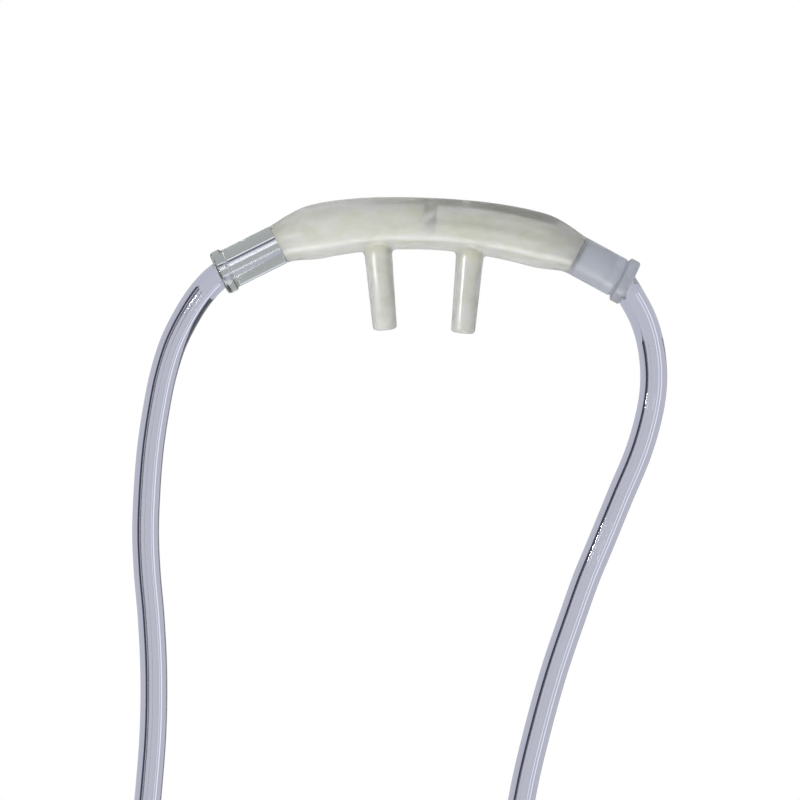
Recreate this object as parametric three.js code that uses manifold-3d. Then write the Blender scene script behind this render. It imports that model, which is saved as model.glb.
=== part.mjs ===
// A carbon dioxide sampling nasal cannula, lying flat on a level surface.
// Millimetres. X runs along the nasal piece, its prongs point to -Y, and Z is up from the surface.
// The origin is on the surface, under the middle of the nasal piece and its two adapters.

import * as THREE from 'three';
import { mergeVertices } from 'three/addons/utils/BufferGeometryUtils.js';
import Module from 'manifold-3d';

// Nasal piece: a soft moulded arch, thickest at its two shoulders
const SPAN = 55.1; // between its two end faces, straight across
const SPAN_CENTRE_X = 0.45;
const LEFT_END_Y = 3.8;
const RIGHT_END_Y = 1.8;
const LEFT_SLOPE = 26.5; // degrees that the arch rises at its left end
const RIGHT_SLOPE = 28.5; // degrees that it falls at its right end
const ARCH_FULLNESS = 13.9; // how far each end runs on its slope before the arch rounds over
const END_DIAMETER = 7.5;
const SHOULDER_HEIGHT = 10.2;
const SHOULDER_INSET = 8; // from an end face to the shoulder, along the arch
const SHOULDER_EASE = 0.8; // below 1 the shoulder rises sooner
const MIDDLE_HEIGHT = 9.6;
const DEPTH_SHARE = 0.75; // how much of the growth in height the depth takes up as well
const CHANNEL_DIAMETER = 4.8;
const SEPTUM = 2.4; // the wall between the oxygen channel and the sampling channel
const SEPTUM_X = 0.8;

// Prongs: one for each channel, toed in towards each other and drooping a little to the back
const PRONG_SPACING = 17.9; // on the axis of the arch
const PRONG_CENTRE_X = -0.25;
const PRONG_TOE_IN = 5.1; // degrees
const PRONG_LENGTH = 19.6; // from the axis of the arch to the tip
const PRONG_DROOP = 1.2;
const PRONG_ROOT_DIAMETER = 5.4;
const PRONG_TIP_DIAMETER = 4.5;
const PRONG_TIP_ROUND = 0.5;
const PRONG_ROOT_FLARE = 1; // the fillet where a prong leaves the arch
const PRONG_BORE = 3;
const CORNER_SHARE = 0.3; // how far in the middle of a rounded corner lies, as a share of its size

// Adapters: each plugs into an end of the nasal piece and takes a tube in its flanged mouth
const LEFT_ADAPTER_LENGTH = 12.4;
const RIGHT_ADAPTER_LENGTH = 11.2;
const LEFT_FLANGE_DIAMETER = 8.4;
const RIGHT_FLANGE_DIAMETER = 8.7;
const FLANGE_THICKNESS = 2.2;
const FLANGE_ROUND = 0.6;
const SPIGOT_DIAMETER = 4.8;
const SPIGOT_LENGTH = 6;
const SOCKET_DEPTH = 6;
const ADAPTER_BORE = 3;

// Tubes
const TUBE_DIAMETER = 5;
const TURN_GAP = 0.1; // between neighbouring turns of a coil
const FIT_GAP = 0.3; // between pieces that touch

// Coils: each is rows of turns beside and on each other, held by one tie
const COIL_COLUMNS = 3;
const COIL_LAYERS = 4;
const COIL_MEAN_DIAMETER = 52.5;
const COIL_CORNER = 2;
const COIL_CENTRE_Y = -137;
const COILS_CENTRE_X = 12.75; // half way between the two coils
const COIL_GAP = 1.2; // between the two coils
const TIE_THICKNESS = 0.8;
const TIE_WIDTH = 4;
const TIE_ANGLE = 115; // degrees round the coil from +X
const TIE_CORNER = 1.5;

// Flared connector that pushes over an oxygen source's barbed outlet
const OXYGEN_LENGTH = 38;
const OXYGEN_MOUTH_DIAMETER = 12.4;
const OXYGEN_MOUTH_BORE = 7.4;
const OXYGEN_MOUTH_DEPTH = 18;
const OXYGEN_BORE = 3;
const OXYGEN_FLARE_LENGTH = 13;
const OXYGEN_WAIST_DIAMETER = 9.4;
const OXYGEN_TAIL_DIAMETER = 8;
const OXYGEN_TAIL_LENGTH = 14;
const OXYGEN_SHOULDER = 2.4; // the slope between the tail, the waist and the flare

// Male luer lock connector that screws into a gas monitor's sampling inlet
const LUER_LENGTH = 26; // from its tube socket to the rim of its collar
const LUER_COLLAR_DIAMETER = 10.4;
const LUER_COLLAR_BORE = 8;
const LUER_COLLAR_LENGTH = 9;
const LUER_COLLAR_DEPTH = 7.5;
const LUER_TAIL_DIAMETER = 7.6;
const LUER_SHOULDER = 2;
const LUER_TIP_DIAMETER = 4;
const LUER_TIP_ROOT_DIAMETER = 4.5;
const LUER_TIP_REACH = 2.1; // how far the tip stands out of the collar
const LUER_BORE = 2.4;

// Facets
const ROUND_SIDES = 24;
const PRONG_SIDES = 16;
const TUBE_SIDES = 10;
const COIL_SIDES = 48;
const ARCH_STEPS = 28;
const PRONG_STEPS = 6;
const BORE_STEP = 3; // between the rings of a bored hole
const CUT_REACH = 1; // how far a cutting shape runs past the face that it cuts
const MERGE_REACH = 1e-4; // points closer than this are one point
const SEARCH_STEPS = 40; // halvings while looking for a place on the arch

// Colours and finishes
const CLEAR_VINYL = { color: '#c3c4bb', roughness: 0.35, metalness: 0 };
const CLEAR_ADAPTER = { color: '#b9bfc0', roughness: 0.12, metalness: 0 };
const FROSTED_ADAPTER = { color: '#adb1b6', roughness: 0.5, metalness: 0 };
const TUBE_VINYL = { color: '#afb4c2', roughness: 0.15, metalness: 0 };
const TIE_PLASTIC = { color: '#e8e8e6', roughness: 0.5, metalness: 0 };
const OXYGEN_VINYL = { color: '#c9d2d0', roughness: 0.3, metalness: 0 };
const LUER_PLASTIC = { color: '#dfe3e6', roughness: 0.2, metalness: 0 };

// Worked out from the sizes above
const AXIS_HEIGHT = Math.max(LEFT_FLANGE_DIAMETER, RIGHT_FLANGE_DIAMETER) / 2;
const TURN_PITCH = TUBE_DIAMETER + TURN_GAP;
const COIL_FLOOR = TIE_THICKNESS + FIT_GAP;
const COIL_HEIGHT = COIL_LAYERS * TURN_PITCH;
const COIL_INNER_RADIUS = COIL_MEAN_DIAMETER / 2 - (COIL_COLUMNS * TURN_PITCH) / 2;
const COIL_OUTER_RADIUS = COIL_MEAN_DIAMETER / 2 + (COIL_COLUMNS * TURN_PITCH) / 2;
const LEFT_COIL_X = COILS_CENTRE_X - COIL_OUTER_RADIUS - COIL_GAP / 2;
const RIGHT_COIL_X = COILS_CENTRE_X + COIL_OUTER_RADIUS + COIL_GAP / 2;
const TUBE_SOCKET_RADIUS = TUBE_DIAMETER / 2 + FIT_GAP;
const COIL_TOP = COIL_FLOOR + COIL_HEIGHT;
const OXYGEN_AXIS_HEIGHT = COIL_TOP + FIT_GAP + OXYGEN_MOUTH_DIAMETER / 2;
const LUER_AXIS_HEIGHT = COIL_TOP + FIT_GAP + LUER_COLLAR_DIAMETER / 2;

// The routes of the two tubes, chosen by hand: down from the adapters to the surface, and along it
// to where each one meets its coil
const LEFT_TUBE_ROUTE = [
  [-39.1, -2.8, 4.3], [-41.9, -5.9, 3.9], [-44.6, -10.1, 3.3], [-46.9, -14.8, 2.8], [-48.7, -20.6, 2.55],
  [-49.8, -26, 2.55], [-51, -34, 2.55], [-51.7, -43, 2.55], [-51.9, -50, 2.55], [-51.6, -57, 2.55],
  [-50.9, -65, 2.55], [-50.4, -75, 2.55], [-50.5, -86, 2.55], [-51.3, -97, 2.55], [-52.4, -108, 2.7],
  [-53.1, -118, 3.2],
];
const RIGHT_TUBE_ROUTE = [
  [38.1, -5.8, 4.1], [40.4, -10.1, 3.5], [41.8, -14.8, 3], [42.4, -20.6, 2.6], [41.9, -26, 2.55],
  [39.8, -34, 2.55], [36.1, -43, 2.55], [32.4, -52, 2.55], [29.9, -58, 2.55], [27.4, -65, 2.55],
  [24, -75, 2.55], [20.9, -86, 2.55], [18.3, -97, 2.55], [16.5, -108, 2.7], [15.9, -118, 3.2],
];

// The last stretch of each tube lies on its coil, on the way to its connector
const LEFT_END_ROUTE = [
  [-15.7, -168.2, 24.4], [-10.3, -166.1, 25.1], [-5.9, -162, 26.2], [-3.1, -157.2, 27.3],
  [-1.9, -153.4, 27.9], [-1.75, -150.9, 28],
];
const RIGHT_END_ROUTE = [
  [53.3, -168.2, 24.4], [58.7, -166.1, 24.8], [63.1, -162, 25.6], [65.9, -157.2, 26.4],
  [67.1, -153.4, 26.9], [67.25, -150.9, 27],
];
const TUBE_STEPS = 32;
const TUBE_END_STEPS = 10;

const wasm = await Module();
wasm.setup();

// Turns a closed geometry into a solid that can be joined and cut
function toSolid(geometry) {
  const bare = geometry.clone();
  bare.deleteAttribute('normal');
  bare.deleteAttribute('uv');
  const merged = mergeVertices(bare, MERGE_REACH);
  const index = merged.index.array;
  const triangles = [];
  for (let i = 0; i < index.length; i += 3) {
    const [a, b, c] = [index[i], index[i + 1], index[i + 2]];
    if (a !== b && b !== c && c !== a) triangles.push(a, b, c);
  }
  const vertProperties = Float32Array.from(merged.attributes.position.array);
  const triVerts = Uint32Array.from(triangles);
  return new wasm.Manifold(new wasm.Mesh({ numProp: 3, vertProperties, triVerts }));
}

function toGeometry(solid) {
  const mesh = solid.getMesh();
  const geometry = new THREE.BufferGeometry();
  geometry.setAttribute('position', new THREE.BufferAttribute(mesh.vertProperties, 3));
  geometry.setIndex(new THREE.BufferAttribute(mesh.triVerts, 1));
  geometry.computeVertexNormals();
  return geometry;
}

// A place on a curve and the directions across it, running straight on past the curve's ends
function frameAt(curve, distance) {
  const length = curve.getLength();
  const share = THREE.MathUtils.clamp(distance / length, 0, 1);
  const along = curve.getTangentAt(share);
  const place = curve.getPointAt(share).addScaledVector(along, distance - share * length);
  const right = new THREE.Vector3().crossVectors(along, new THREE.Vector3(0, 0, 1)).normalize();
  const up = new THREE.Vector3().crossVectors(right, along);
  return { place, along, right, up };
}

// Turns a profile of [radius, distance] about a curve, flattened by depthAt(distance)
function turnAlong(curve, profile, sides, depthAt = () => 1) {
  const points = profile.map(([radius, distance]) => new THREE.Vector2(radius, distance));
  const geometry = new THREE.LatheGeometry(points, sides);
  const position = geometry.attributes.position;
  for (let i = 0; i < position.count; i += 1) {
    const distance = position.getY(i);
    const { place, right, up } = frameAt(curve, distance);
    place.addScaledVector(right, position.getX(i));
    place.addScaledVector(up, position.getZ(i) * depthAt(distance));
    position.setXYZ(i, place.x, place.y, place.z);
  }
  return geometry;
}

// The arch's axis
const slope = (degrees) => THREE.MathUtils.degToRad(degrees);
const leftEnd = new THREE.Vector3(SPAN_CENTRE_X - SPAN / 2, LEFT_END_Y, AXIS_HEIGHT);
const rightEnd = new THREE.Vector3(SPAN_CENTRE_X + SPAN / 2, RIGHT_END_Y, AXIS_HEIGHT);
const leftInward = new THREE.Vector3(Math.cos(slope(LEFT_SLOPE)), Math.sin(slope(LEFT_SLOPE)), 0);
const rightInward = new THREE.Vector3(-Math.cos(slope(RIGHT_SLOPE)), Math.sin(slope(RIGHT_SLOPE)), 0);
const arch = new THREE.CubicBezierCurve3(
  leftEnd,
  leftEnd.clone().addScaledVector(leftInward, ARCH_FULLNESS),
  rightEnd.clone().addScaledVector(rightInward, ARCH_FULLNESS),
  rightEnd,
);
const ARCH_LENGTH = arch.getLength();

// Distance along the arch at which its axis passes a given X
function distanceAtX(x) {
  let low = 0;
  let high = 1;
  for (let i = 0; i < SEARCH_STEPS; i += 1) {
    const middle = (low + high) / 2;
    if (arch.getPointAt(middle).x < x) low = middle;
    else high = middle;
  }
  return low * ARCH_LENGTH;
}

const smooth = (t) => t * t * (3 - 2 * t);

// Half the arch's height at a distance along it
function archRadius(distance) {
  const fromEnd = Math.min(distance, ARCH_LENGTH - distance);
  const middle = ARCH_LENGTH / 2;
  if (fromEnd < SHOULDER_INSET) {
    const rise = smooth((Math.max(fromEnd, 0) / SHOULDER_INSET) ** SHOULDER_EASE);
    return THREE.MathUtils.lerp(END_DIAMETER, SHOULDER_HEIGHT, rise) / 2;
  }
  const fall = smooth((fromEnd - SHOULDER_INSET) / (middle - SHOULDER_INSET));
  return THREE.MathUtils.lerp(SHOULDER_HEIGHT, MIDDLE_HEIGHT, fall) / 2;
}

// The share of its height that the arch is deep
function archDepth(distance) {
  const radius = archRadius(distance);
  return THREE.MathUtils.lerp(END_DIAMETER / 2, radius, DEPTH_SHARE) / radius;
}

function archBody() {
  const profile = [[0, 0]];
  for (let i = 0; i <= ARCH_STEPS; i += 1) {
    // Steps are closer together towards the ends, where the shoulders rise
    const distance = (ARCH_LENGTH * (1 - Math.cos((Math.PI * i) / ARCH_STEPS))) / 2;
    profile.push([archRadius(distance), distance]);
  }
  profile.push([0, ARCH_LENGTH]);
  return toSolid(turnAlong(arch, profile, ROUND_SIDES, archDepth));
}

// The axis of a prong, from the arch's axis to the tip
function prongAxis(side) {
  const base = frameAt(arch, distanceAtX(PRONG_CENTRE_X + (side * PRONG_SPACING) / 2)).place;
  const toeIn = slope(PRONG_TOE_IN);
  const outward = new THREE.Vector3(-side * Math.sin(toeIn), -Math.cos(toeIn), 0);
  const middle = base.clone().addScaledVector(outward, PRONG_LENGTH / 2);
  const tip = base.clone().addScaledVector(outward, PRONG_LENGTH);
  tip.z -= PRONG_DROOP;
  return new THREE.QuadraticBezierCurve3(base, middle, tip);
}

function prongBody(axis) {
  const length = axis.getLength();
  const surface = MIDDLE_HEIGHT / 2;
  const rootRadius = PRONG_ROOT_DIAMETER / 2;
  const tipRadius = PRONG_TIP_DIAMETER / 2;
  const flareEnd = surface + PRONG_ROOT_FLARE;
  const taperEnd = length - PRONG_TIP_ROUND;
  const profile = [
    [0, 0],
    [rootRadius, 0],
    [rootRadius + PRONG_ROOT_FLARE, surface - PRONG_ROOT_FLARE / 2],
    [rootRadius + PRONG_ROOT_FLARE * CORNER_SHARE, surface + PRONG_ROOT_FLARE * CORNER_SHARE],
  ];
  for (let i = 0; i <= PRONG_STEPS; i += 1) {
    const share = i / PRONG_STEPS;
    profile.push([
      THREE.MathUtils.lerp(rootRadius, tipRadius, share),
      THREE.MathUtils.lerp(flareEnd, taperEnd, share),
    ]);
  }
  profile.push([tipRadius - PRONG_TIP_ROUND * CORNER_SHARE, length - PRONG_TIP_ROUND * CORNER_SHARE]);
  profile.push([tipRadius - PRONG_TIP_ROUND, length]);
  profile.push([0, length]);
  return toSolid(turnAlong(axis, profile, PRONG_SIDES));
}

// A round hole along a curve, from one distance to another
function boreAlong(curve, diameter, from, to, sides) {
  const profile = [[0, from]];
  const steps = Math.max(1, Math.round((to - from) / BORE_STEP));
  for (let i = 0; i <= steps; i += 1) {
    profile.push([diameter / 2, from + ((to - from) * i) / steps]);
  }
  profile.push([0, to]);
  return toSolid(turnAlong(curve, profile, sides));
}

function nasalPiece() {
  const septum = distanceAtX(SEPTUM_X);
  const below = new THREE.BoxGeometry(2 * SPAN, 2 * SPAN, 2 * SHOULDER_HEIGHT);
  below.translate(SPAN_CENTRE_X, 0, -SHOULDER_HEIGHT);
  const prongAxes = [prongAxis(-1), prongAxis(1)];
  let body = archBody();
  for (const axis of prongAxes) body = body.add(prongBody(axis));
  body = body.subtract(toSolid(below));
  const spigotHole = SPIGOT_DIAMETER + 2 * FIT_GAP;
  const spigotDepth = SPIGOT_LENGTH + FIT_GAP;
  const socketLine = (end, inward) => (
    new THREE.LineCurve3(end, end.clone().addScaledVector(inward, spigotDepth))
  );
  const leftSocket = socketLine(leftEnd, leftInward);
  const rightSocket = socketLine(rightEnd, rightInward);
  const cuts = [
    boreAlong(arch, CHANNEL_DIAMETER, -CUT_REACH, septum - SEPTUM / 2, PRONG_SIDES),
    boreAlong(arch, CHANNEL_DIAMETER, septum + SEPTUM / 2, ARCH_LENGTH + CUT_REACH, PRONG_SIDES),
    boreAlong(leftSocket, spigotHole, -CUT_REACH, spigotDepth, ROUND_SIDES),
    boreAlong(rightSocket, spigotHole, -CUT_REACH, spigotDepth, ROUND_SIDES),
  ];
  for (const axis of prongAxes) {
    cuts.push(boreAlong(axis, PRONG_BORE, 0, axis.getLength() + CUT_REACH, PRONG_SIDES));
  }
  for (const cut of cuts) body = body.subtract(cut);
  return toGeometry(body);
}

// A closed ring profile of [radius, distance], turned about +Y
function turned(profile, sides) {
  const points = [...profile, profile[0]].map(([radius, distance]) => new THREE.Vector2(radius, distance));
  return new THREE.LatheGeometry(points, sides);
}

// An adapter runs along +Y from the nasal piece's end face at 0 to its own outer face
function adapter(length, flangeDiameter) {
  const bore = ADAPTER_BORE / 2;
  const spigot = SPIGOT_DIAMETER / 2;
  const barrel = END_DIAMETER / 2;
  const flange = flangeDiameter / 2;
  const flangeStart = length - FLANGE_THICKNESS;
  return turned([
    [bore, -SPIGOT_LENGTH],
    [spigot - FIT_GAP, -SPIGOT_LENGTH],
    [spigot, -SPIGOT_LENGTH + FIT_GAP],
    [spigot, FIT_GAP],
    [barrel, FIT_GAP],
    [barrel, flangeStart],
    [flange, flangeStart + FLANGE_ROUND / 2],
    [flange, length - FLANGE_ROUND],
    [flange - FLANGE_ROUND * CORNER_SHARE, length - FLANGE_ROUND * CORNER_SHARE],
    [flange - FLANGE_ROUND, length],
    [TUBE_SOCKET_RADIUS, length],
    [TUBE_SOCKET_RADIUS, length - SOCKET_DEPTH],
    [bore, length - SOCKET_DEPTH],
  ], ROUND_SIDES);
}

// The oxygen connector runs along +Y from its tube socket to its flared mouth
function oxygenConnector() {
  const tail = OXYGEN_TAIL_DIAMETER / 2;
  const waist = OXYGEN_WAIST_DIAMETER / 2;
  const mouth = OXYGEN_MOUTH_DIAMETER / 2;
  const bore = OXYGEN_BORE / 2;
  const flareStart = OXYGEN_LENGTH - OXYGEN_FLARE_LENGTH;
  return turned([
    [TUBE_SOCKET_RADIUS, 0],
    [tail - FLANGE_ROUND, 0],
    [tail, FLANGE_ROUND],
    [tail, OXYGEN_TAIL_LENGTH],
    [waist, OXYGEN_TAIL_LENGTH + OXYGEN_SHOULDER],
    [waist, flareStart],
    [mouth, flareStart + OXYGEN_SHOULDER],
    [mouth, OXYGEN_LENGTH - FLANGE_ROUND],
    [mouth - FLANGE_ROUND, OXYGEN_LENGTH],
    [OXYGEN_MOUTH_BORE / 2, OXYGEN_LENGTH],
    [OXYGEN_MOUTH_BORE / 2, OXYGEN_LENGTH - OXYGEN_MOUTH_DEPTH],
    [bore, OXYGEN_LENGTH - OXYGEN_MOUTH_DEPTH - OXYGEN_SHOULDER],
    [bore, SOCKET_DEPTH],
    [TUBE_SOCKET_RADIUS, SOCKET_DEPTH],
  ], ROUND_SIDES);
}

// The luer connector runs along +Y from its tube socket to its tapered tip
function luerConnector() {
  const tail = LUER_TAIL_DIAMETER / 2;
  const collar = LUER_COLLAR_DIAMETER / 2;
  const collarStart = LUER_LENGTH - LUER_COLLAR_LENGTH;
  const collarFloor = LUER_LENGTH - LUER_COLLAR_DEPTH;
  const tipEnd = LUER_LENGTH + LUER_TIP_REACH;
  return turned([
    [TUBE_SOCKET_RADIUS, 0],
    [tail - FLANGE_ROUND, 0],
    [tail, FLANGE_ROUND],
    [tail, collarStart - LUER_SHOULDER],
    [collar, collarStart],
    [collar, LUER_LENGTH - FLANGE_ROUND],
    [collar - FLANGE_ROUND / 2, LUER_LENGTH],
    [LUER_COLLAR_BORE / 2, LUER_LENGTH],
    [LUER_COLLAR_BORE / 2, collarFloor],
    [LUER_TIP_ROOT_DIAMETER / 2, collarFloor],
    [LUER_TIP_DIAMETER / 2, tipEnd],
    [LUER_BORE / 2, tipEnd],
    [LUER_BORE / 2, SOCKET_DEPTH],
    [TUBE_SOCKET_RADIUS, SOCKET_DEPTH],
  ], ROUND_SIDES);
}

function circle(radius, sides) {
  const points = [];
  for (let i = 0; i < sides; i += 1) {
    const angle = (2 * Math.PI * i) / sides;
    points.push(new THREE.Vector2(radius * Math.cos(angle), radius * Math.sin(angle)));
  }
  return new THREE.Shape(points);
}

function tube(route, steps) {
  const points = route.map(([x, y, z]) => new THREE.Vector3(x, y, z));
  const extrudePath = new THREE.CatmullRomCurve3(points, false, 'centripetal');
  const section = circle(TUBE_DIAMETER / 2, TUBE_SIDES);
  return new THREE.ExtrudeGeometry(section, { steps, extrudePath, bevelEnabled: false });
}

// The outer shape of a coil, turned about its own upright axis
function coil() {
  const [inner, outer] = [COIL_INNER_RADIUS, COIL_OUTER_RADIUS];
  return turned([
    [inner + COIL_CORNER, 0],
    [outer - COIL_CORNER, 0],
    [outer, COIL_CORNER],
    [outer, COIL_HEIGHT - COIL_CORNER],
    [outer - COIL_CORNER, COIL_HEIGHT],
    [inner + COIL_CORNER, COIL_HEIGHT],
    [inner, COIL_HEIGHT - COIL_CORNER],
    [inner, COIL_CORNER],
  ], COIL_SIDES);
}

// A rectangle with cut corners, centred on a place
function cornered(centreX, centreY, width, height, corner) {
  const [halfWidth, halfHeight] = [width / 2, height / 2];
  return [
    [halfWidth - corner, -halfHeight], [halfWidth, -halfHeight + corner],
    [halfWidth, halfHeight - corner], [halfWidth - corner, halfHeight],
    [-halfWidth + corner, halfHeight], [-halfWidth, halfHeight - corner],
    [-halfWidth, -halfHeight + corner], [-halfWidth + corner, -halfHeight],
  ].map(([x, y]) => new THREE.Vector2(centreX + x, centreY + y));
}

// A band around the section of a coil, with the coil's radius along X and its height along Y
function tie() {
  const radius = COIL_MEAN_DIAMETER / 2;
  const height = COIL_FLOOR + COIL_HEIGHT / 2;
  const holeWidth = COIL_COLUMNS * TURN_PITCH + 2 * FIT_GAP;
  const holeHeight = COIL_HEIGHT + 2 * FIT_GAP;
  const wall = 2 * TIE_THICKNESS;
  const band = new THREE.Shape(cornered(radius, height, holeWidth + wall, holeHeight + wall, TIE_CORNER));
  band.holes.push(new THREE.Path(cornered(radius, height, holeWidth, holeHeight, TIE_CORNER)));
  const geometry = new THREE.ExtrudeGeometry(band, { depth: TIE_WIDTH, bevelEnabled: false });
  geometry.translate(0, 0, -TIE_WIDTH / 2);
  return geometry;
}

const cannula = new THREE.Group();

function addPiece(name, geometry, finish, place = new THREE.Vector3()) {
  const piece = new THREE.Mesh(geometry, new THREE.MeshStandardMaterial(finish));
  piece.name = name;
  piece.position.copy(place);
  cannula.add(piece);
  return piece;
}

// Turns a piece that was made along +Y to run along a direction
function point(piece, direction) {
  piece.quaternion.setFromUnitVectors(new THREE.Vector3(0, 1, 0), direction.clone().normalize());
}

addPiece('nasal_piece', nasalPiece(), CLEAR_VINYL);

const leftAdapter = addPiece(
  'left_adapter', adapter(LEFT_ADAPTER_LENGTH, LEFT_FLANGE_DIAMETER), CLEAR_ADAPTER, leftEnd,
);
point(leftAdapter, leftInward.clone().negate());
const rightAdapter = addPiece(
  'right_adapter', adapter(RIGHT_ADAPTER_LENGTH, RIGHT_FLANGE_DIAMETER), FROSTED_ADAPTER, rightEnd,
);
point(rightAdapter, rightInward.clone().negate());

addPiece('left_tube', tube(LEFT_TUBE_ROUTE, TUBE_STEPS), TUBE_VINYL);
addPiece('right_tube', tube(RIGHT_TUBE_ROUTE, TUBE_STEPS), TUBE_VINYL);
addPiece('left_tube_end', tube(LEFT_END_ROUTE, TUBE_END_STEPS), TUBE_VINYL);
addPiece('right_tube_end', tube(RIGHT_END_ROUTE, TUBE_END_STEPS), TUBE_VINYL);

for (const [side, x] of [['left', LEFT_COIL_X], ['right', RIGHT_COIL_X]]) {
  const centre = new THREE.Vector3(x, COIL_CENTRE_Y, 0);
  const ring = addPiece(`${side}_coil`, coil(), TUBE_VINYL, centre.clone().setZ(COIL_FLOOR));
  ring.rotation.x = Math.PI / 2;
  const band = addPiece(`${side}_coil_tie`, tie(), TIE_PLASTIC, centre);
  const angle = slope(TIE_ANGLE);
  const radial = new THREE.Vector3(Math.cos(angle), Math.sin(angle), 0);
  const up = new THREE.Vector3(0, 0, 1);
  const across = new THREE.Vector3().crossVectors(radial, up);
  band.quaternion.setFromRotationMatrix(new THREE.Matrix4().makeBasis(radial, up, across));
}

// Each connector lies on its coil along +Y, and starts a fit gap past the end of its tube
const past = new THREE.Vector3(0, FIT_GAP, 0);
const oxygenPlace = new THREE.Vector3(...LEFT_END_ROUTE.at(-1)).add(past).setZ(OXYGEN_AXIS_HEIGHT);
const luerPlace = new THREE.Vector3(...RIGHT_END_ROUTE.at(-1)).add(past).setZ(LUER_AXIS_HEIGHT);
addPiece('oxygen_connector', oxygenConnector(), OXYGEN_VINYL, oxygenPlace);
addPiece('luer_connector', luerConnector(), LUER_PLASTIC, luerPlace);

export default cannula;
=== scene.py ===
"""Looks of a clear nasal cannula that gives oxygen on one side and samples carbon dioxide on the other.

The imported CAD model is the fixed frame. Lengths are metres, +Z is up, and the cannula lies on the
floor with its prongs towards -Y. Run as a script, it makes every piece and the stage.
"""

import math

import bpy
from bpy.props import FloatProperty, FloatVectorProperty, IntProperty, PointerProperty
from mathutils import Matrix, Vector


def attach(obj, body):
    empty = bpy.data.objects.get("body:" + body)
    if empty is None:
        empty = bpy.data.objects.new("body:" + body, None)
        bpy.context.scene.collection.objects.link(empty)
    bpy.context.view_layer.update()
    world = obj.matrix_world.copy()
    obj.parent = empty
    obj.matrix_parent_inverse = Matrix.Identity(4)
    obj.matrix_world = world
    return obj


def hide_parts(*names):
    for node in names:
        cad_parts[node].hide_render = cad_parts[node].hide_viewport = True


bl_info = {
    "name": "Sampling nasal cannula",
    "version": (1, 0, 0),
    "blender": (4, 5, 0),
    "location": "View3D > Sidebar > Cannula",
    "description": "Models a clear nasal cannula with its tubes, connectors and stage",
    "category": "Add Mesh",
}

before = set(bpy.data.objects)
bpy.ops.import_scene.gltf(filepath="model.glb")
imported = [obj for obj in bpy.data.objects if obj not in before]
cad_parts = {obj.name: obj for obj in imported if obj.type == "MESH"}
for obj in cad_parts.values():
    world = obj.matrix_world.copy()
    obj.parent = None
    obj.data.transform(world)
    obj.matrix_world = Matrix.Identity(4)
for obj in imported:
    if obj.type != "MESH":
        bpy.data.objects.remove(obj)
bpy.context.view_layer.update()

MM = 0.001

# The camera looks straight down at the photograph's scale
VIEW_CENTRE = (-0.00469, -0.025)
VIEW_WIDTH = 0.1481
LENS_MM = 135
SENSOR_MM = 36
VIEW_PLANE = 0.004

# The arch of the nasal piece, from its left end face to its right one
AXIS_HEIGHT = 0.00435
LEFT_END = Vector((-0.0271, 0.0038, AXIS_HEIGHT))
RIGHT_END = Vector((0.028, 0.0018, AXIS_HEIGHT))
LEFT_SLOPE = math.radians(26.5)
RIGHT_SLOPE = math.radians(28.5)
ARCH_FULLNESS = 0.0139

# The routes of the two tubes outside their coils
LEFT_TUBE_ROUTE = [
    (-0.0391, -0.0028, 0.0043), (-0.0419, -0.0059, 0.0039), (-0.0446, -0.0101, 0.0033),
    (-0.0469, -0.0148, 0.0028), (-0.0487, -0.0206, 0.00255), (-0.0498, -0.026, 0.00255),
    (-0.051, -0.034, 0.00255), (-0.0517, -0.043, 0.00255), (-0.0519, -0.05, 0.00255),
    (-0.0516, -0.057, 0.00255), (-0.0509, -0.065, 0.00255), (-0.0504, -0.075, 0.00255),
    (-0.0505, -0.086, 0.00255), (-0.0513, -0.097, 0.00255), (-0.0524, -0.108, 0.0027),
    (-0.0531, -0.118, 0.0032),
]
RIGHT_TUBE_ROUTE = [
    (0.0381, -0.0058, 0.0041), (0.0404, -0.0101, 0.0035), (0.0418, -0.0148, 0.003),
    (0.0424, -0.0206, 0.0026), (0.0419, -0.026, 0.00255), (0.0398, -0.034, 0.00255),
    (0.0361, -0.043, 0.00255), (0.0324, -0.052, 0.00255), (0.0299, -0.058, 0.00255),
    (0.0274, -0.065, 0.00255), (0.024, -0.075, 0.00255), (0.0209, -0.086, 0.00255),
    (0.0183, -0.097, 0.00255), (0.0165, -0.108, 0.0027), (0.0159, -0.118, 0.0032),
]
LEFT_END_ROUTE = [
    (-0.03145, -0.1669, 0.0196), (-0.02495, -0.1684, 0.0216), (-0.0157, -0.1682, 0.0244),
    (-0.0103, -0.1661, 0.0251), (-0.0059, -0.162, 0.0262), (-0.0031, -0.1572, 0.0273),
    (-0.0019, -0.1534, 0.0279), (-0.00175, -0.1509, 0.028),
]
RIGHT_END_ROUTE = [
    (0.03755, -0.1669, 0.0196), (0.04405, -0.1684, 0.0216), (0.0533, -0.1682, 0.0244),
    (0.0587, -0.1661, 0.0248), (0.0631, -0.162, 0.0256), (0.0659, -0.1572, 0.0264),
    (0.0671, -0.1534, 0.0269), (0.06725, -0.1509, 0.027),
]
OXYGEN_START = Vector((-0.00175, -0.1506, 0.028))
LUER_START = Vector((0.06725, -0.1506, 0.027))
CONNECTOR_WAY = Vector((0, 1, 0))

# From here towards -Y both tubes have left their adapters
MOUTHS_Y = -0.006

# The coils: each turn keeps its column, then moves over to the next one within a short zone. The
# zones of each layer begin earlier than the last layer's, so that no two turns cross.
LEFT_COIL_CENTRE = Vector((-0.02175, -0.137, 0.0))
RIGHT_COIL_CENTRE = Vector((0.04725, -0.137, 0.0))
COIL_FLOOR = 0.0011
COIL_START = math.pi
COIL_END = math.radians(60)
COIL_STEP = math.radians(10)
MOVE_ZONE = math.radians(60)
FIRST_SHIFT = math.radians(240)
EARLIER_EACH_LAYER = math.radians(40)
CLIMB_BEFORE_SHIFT = math.radians(20)

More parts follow.
